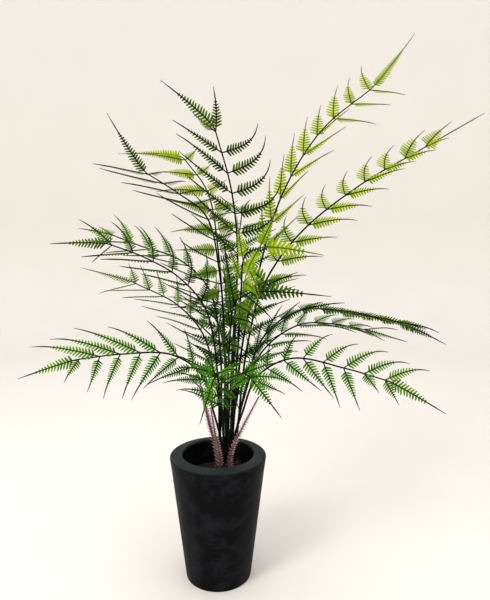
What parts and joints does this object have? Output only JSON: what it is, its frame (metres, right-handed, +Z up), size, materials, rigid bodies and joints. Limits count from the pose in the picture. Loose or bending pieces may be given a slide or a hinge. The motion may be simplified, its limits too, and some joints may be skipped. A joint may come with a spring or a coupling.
{
  "type": "potted fern",
  "caption": "Tall male fern with arching, long-tailed, finely cut fronds in a tapered black pot with a thick rim.",
  "frame": {"origin": "middle of the pot's flat foot, on the surface that the pot stands on", "axes": "+Z up out of the pot, -Y towards the picture's viewer, +X to the viewer's right"},
  "size_m": [1.045, 0.6622, 1.33],
  "materials": {
    "pot": "satin black with faint brushing and mottling",
    "soil": "dark crumbly soil",
    "rootstock": "dark brown, scaly",
    "leaf_deep": "dark green, soft sheen",
    "leaf_mid": "fresh green, soft sheen",
    "leaf_pale": "pale green, soft sheen",
    "leaf_lime": "lime green, soft sheen",
    "crozier": "pinkish brown, bristly"
  },
  "bodies": {
    "root": {"pot": "pot", "soil": "soil", "rootstock": "rootstock", "frond_upright_front": "leaf_deep", "frond_lime_tall": "leaf_lime", "frond_lime_long": "leaf_lime", "frond_dark_high_left": "leaf_deep", "frond_yellow_back": "leaf_lime", "frond_left_hooked": "leaf_mid", "frond_left_dark": "leaf_deep", "frond_left_pale": "leaf_pale", "frond_low_left": "leaf_mid", "frond_right_arch_high": "leaf_deep", "frond_right_arch_low": "leaf_mid", "frond_low_right": "leaf_mid", "frond_front_right": "leaf_mid", "frond_front_left": "leaf_mid", "frond_front_lime": "leaf_lime", "frond_front_mid": "leaf_deep", "frond_back_left": "leaf_deep", "frond_back_right": "leaf_deep", "frond_back_high": "leaf_mid", "crozier_left_tall": "crozier", "crozier_left_fork": "crozier", "crozier_left_short": "crozier", "crozier_right": "crozier"}
  },
  "joints": []
}
